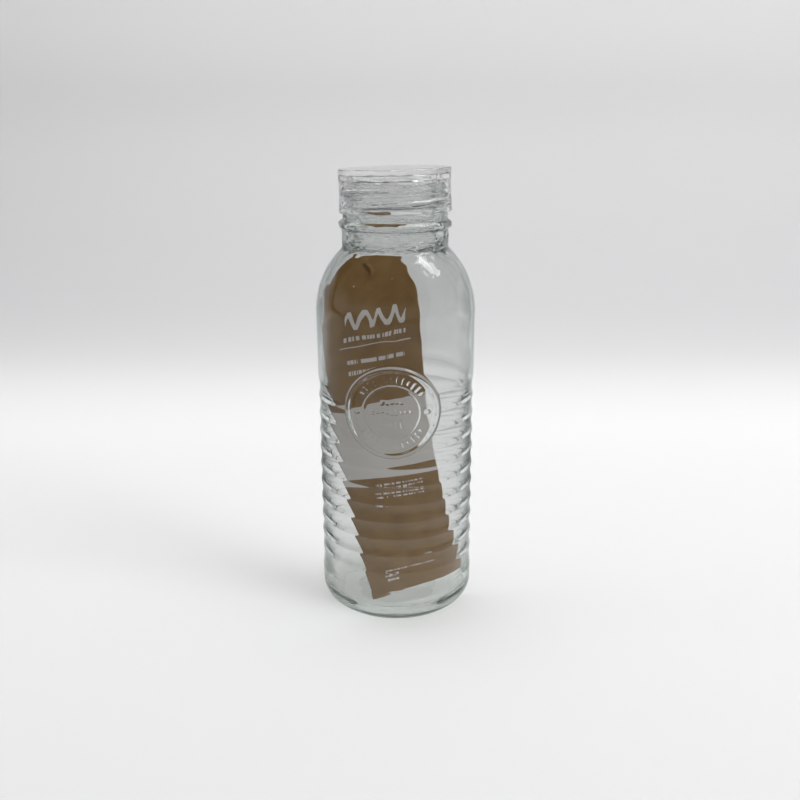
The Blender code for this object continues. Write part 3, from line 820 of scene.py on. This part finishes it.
def stage():
    """A pale floor that sweeps up into a wall behind, with painted shade and a painted glow on it."""
    rise_start, rise_radius, wall_top, half_width, front = 0.42, 0.25, 2.2, 3.0, -2.5
    profile = [(front, 0)]
    profile += [(rise_start + rise_radius * sin(radians(90 * i / 16)),
                 rise_radius * (1 - cos(radians(90 * i / 16)))) for i in range(17)]
    profile.append((rise_start + rise_radius, wall_top))
    shape = bmesh.new()
    rows = [[shape.verts.new((x, y, z)) for x in (-half_width, half_width)] for y, z in profile]
    for lower, upper in zip(rows, rows[1:]):
        shape.faces.new((lower[0], lower[1], upper[1], upper[0])).smooth = True
    mesh = bpy.data.meshes.new("sweep")
    shape.to_mesh(mesh)
    shape.free()
    made, nodes, shader, output = new_material("pale_sweep")
    place = nodes.add("ShaderNodeTexCoord").outputs["Object"]
    apart = nodes.add("ShaderNodeSeparateXYZ", inputs={0: place}).outputs
    grain = nodes.add("ShaderNodeTexNoise",
                      inputs={"Vector": place, "Scale": 6.0, "Detail": 2.0}).outputs[0]
    share = nodes.fade(apart["Y"], *FLOOR_FADE)
    share = nodes.math("ADD", share, nodes.math("MULTIPLY", nodes.math("SUBTRACT", grain, 0.5), GRAIN))
    # Painted shade on the floor far back, at the foot of the wall
    colour = nodes.mix(share, FLOOR_NEAR, FLOOR_FAR_PAINTED_SHADE)
    colour = nodes.mix(nodes.fade(apart["Z"], *WALL_FADE), colour, WALL)
    path = nodes.add("ShaderNodeLightPath").outputs
    top_shade_share = nodes.math("SUBTRACT", 1.0, path["Is Camera Ray"])
    top_shade_share = nodes.math("MULTIPLY", top_shade_share, nodes.fade(apart["Z"], *TOP_FADE))
    # Painted shade on the upper wall, for every ray but the camera's
    colour = nodes.mix(top_shade_share, colour, WALL_TOP_PAINTED_SHADE)
    away = nodes.add("ShaderNodeVectorMath", operation="LENGTH", inputs={0: place}).outputs["Value"]
    mirrored_shade_share = nodes.math("MULTIPLY", path["Is Reflection Ray"], nodes.fade(away, *MIRROR_FADE))
    mirrored_shade_share = nodes.math("MULTIPLY", mirrored_shade_share, nodes.fade(apart["Y"], *MIRROR_BACK))
    # Painted shade on the stage near the bottle, in what gloss mirrors of it
    nodes.put(shader["Base Color"], nodes.mix(mirrored_shade_share, colour, MIRRORED_STAGE_PAINTED_SHADE))
    # Painted light: the far reaches glow for the camera, though they are no lamp
    far = nodes.math("MULTIPLY", path["Is Camera Ray"], nodes.fade(away, *GLOW_FADE))
    nodes.put(shader["Emission Color"], nodes.mix(far, (0, 0, 0, 1), FAR_PAINTED_GLOW))
    shader["Emission Strength"].default_value = 1.0
    shader["Roughness"].default_value = 0.9
    shader["Specular IOR Level"].default_value = 0.0
    mesh.materials.append(made)
    floor = bpy.data.objects.new("sweep", mesh)
    bpy.context.scene.collection.objects.link(floor)


def lamp(name, place, towards, size, power, mirrored=True, lights=True):
    """A rectangular soft light that faces a point: it may be left out of gloss, or of what it lights."""
    data = bpy.data.lights.new(name, "AREA")
    data.shape = "RECTANGLE"
    data.size, data.size_y = size
    data.energy = power
    made = bpy.data.objects.new(name, data)
    made.visible_glossy = mirrored
    made.visible_transmission = mirrored
    made.visible_diffuse = lights
    made.location = place
    made.rotation_euler = (Vector(towards) - Vector(place)).to_track_quat("-Z", "Y").to_euler()
    bpy.context.scene.collection.objects.link(made)
    return data


# The room: low down and higher up as seen through glass, as light, as gloss mirrors it, and behind all
ROOM_LOW = (0.64, 0.645, 0.65, 1)
ROOM_HIGH = (0.10, 0.103, 0.107, 1)
ROOM_LIGHT = (0.20, 0.205, 0.21, 1)
ROOM_MIRRORED = (0.07, 0.07, 0.073, 1)
ROOM_BEHIND = (0.66, 0.665, 0.67, 1)


def room():
    """The room around the stage: pale low down, dim higher up, and dim in reflections and as light."""
    world = bpy.data.worlds.new("room")
    bpy.context.scene.world = world
    world.use_nodes = True
    nodes = Nodes(world.node_tree)
    path = nodes.add("ShaderNodeLightPath").outputs
    facing = nodes.add("ShaderNodeTexCoord").outputs["Generated"]
    up = nodes.add("ShaderNodeSeparateXYZ", inputs={0: facing}).outputs["Z"]
    seen = nodes.mix(nodes.fade(up, 0.08, 0.40), ROOM_LOW, ROOM_HIGH)
    colour = nodes.mix(path["Is Diffuse Ray"], seen, ROOM_LIGHT)
    colour = nodes.mix(path["Is Reflection Ray"], colour, ROOM_MIRRORED)
    colour = nodes.mix(path["Is Camera Ray"], colour, ROOM_BEHIND)
    nodes.put(world.node_tree.nodes["Background"].inputs["Color"], colour)


def lighting():
    """Soft studio light from above and behind, a window at the right and a weak one at the left."""
    lamp("overhead", (0.0, 0.35, 1.35), (0, 0.1, 0), (1.9, 1.0), 18.5, mirrored=False)
    wash = lamp("wall_wash", (0.15, -0.25, 1.0), (0.15, 0.67, 0.3), (1.6, 0.3), 0.8, mirrored=False)
    wash.spread = radians(60)
    lamp("window_right", (1.3, -0.55, 0.8), (0, 0, 0.08), (0.7, 1.0), 10, mirrored=False)
    lamp("window_gleam", (0.86, -0.10, 1.24), (0, 0, 0.155), (0.3, 0.7), 3.6, lights=False)
    lamp("window_left", (-1.5, 0.1, 0.8), (0, 0, 0.05), (0.7, 1.0), 3, mirrored=False)


def camera():
    """The photograph's view."""
    data = bpy.data.cameras.new("view")
    data.lens = LENS
    data.sensor_width = SENSOR
    data.clip_start = 0.01
    made = bpy.data.objects.new("view", data)
    pitch = Matrix.Rotation(pi / 2 - CAMERA_PITCH, 4, "X")
    made.matrix_world = Matrix.Translation(CAMERA_PLACE) @ pitch @ Matrix.Rotation(-CAMERA_ROLL, 4, "Z")
    bpy.context.scene.collection.objects.link(made)
    bpy.context.scene.camera = made


def main():
    """The three pieces, the stage and its light, the camera and the render's bounces."""
    marks = handling_marks()
    glass = see_through("clear_glass", marks, *CLEAR_GLASS)
    plastic = see_through("clear_plastic", marks, *CLEAR_PLASTIC)
    fibres = paper_fibres()
    printed = paper("printed_kraft", fibres, KRAFT_DARK, KRAFT_LIGHT, printed_bar(), printed_wave())
    plain = paper("plain_kraft", fibres, KRAFT_DARK, KRAFT_LIGHT)
    # The tag's cut edge: paler card with a painted highlight
    cut = paper("cut_kraft_and_glint", fibres, CUT_AND_GLINT_DARK, CUT_AND_GLINT_LIGHT)
    add_piece("glass_body", glass_shape(), "bottle_glass", [glass])
    add_piece("clear_cap", cap_shape(), "screw_cap", [plastic])
    tag = add_piece("kraft_tag", tag_shape(), "paper_tag", [printed, plain, cut])
    thicken = tag.modifiers.new("thickness", "SOLIDIFY")
    thicken.thickness = TAG_THICKNESS
    thicken.offset = 0.0
    thicken.material_offset = 1
    thicken.material_offset_rim = 2
    stage()
    room()
    lighting()
    camera()
    scene = bpy.context.scene
    scene.view_settings.view_transform = "Standard"
    scene.cycles.max_bounces = 28
    scene.cycles.transmission_bounces = 24
    scene.cycles.transparent_max_bounces = 24
    scene.cycles.glossy_bounces = 12
    scene.cycles.diffuse_bounces = 4


main()
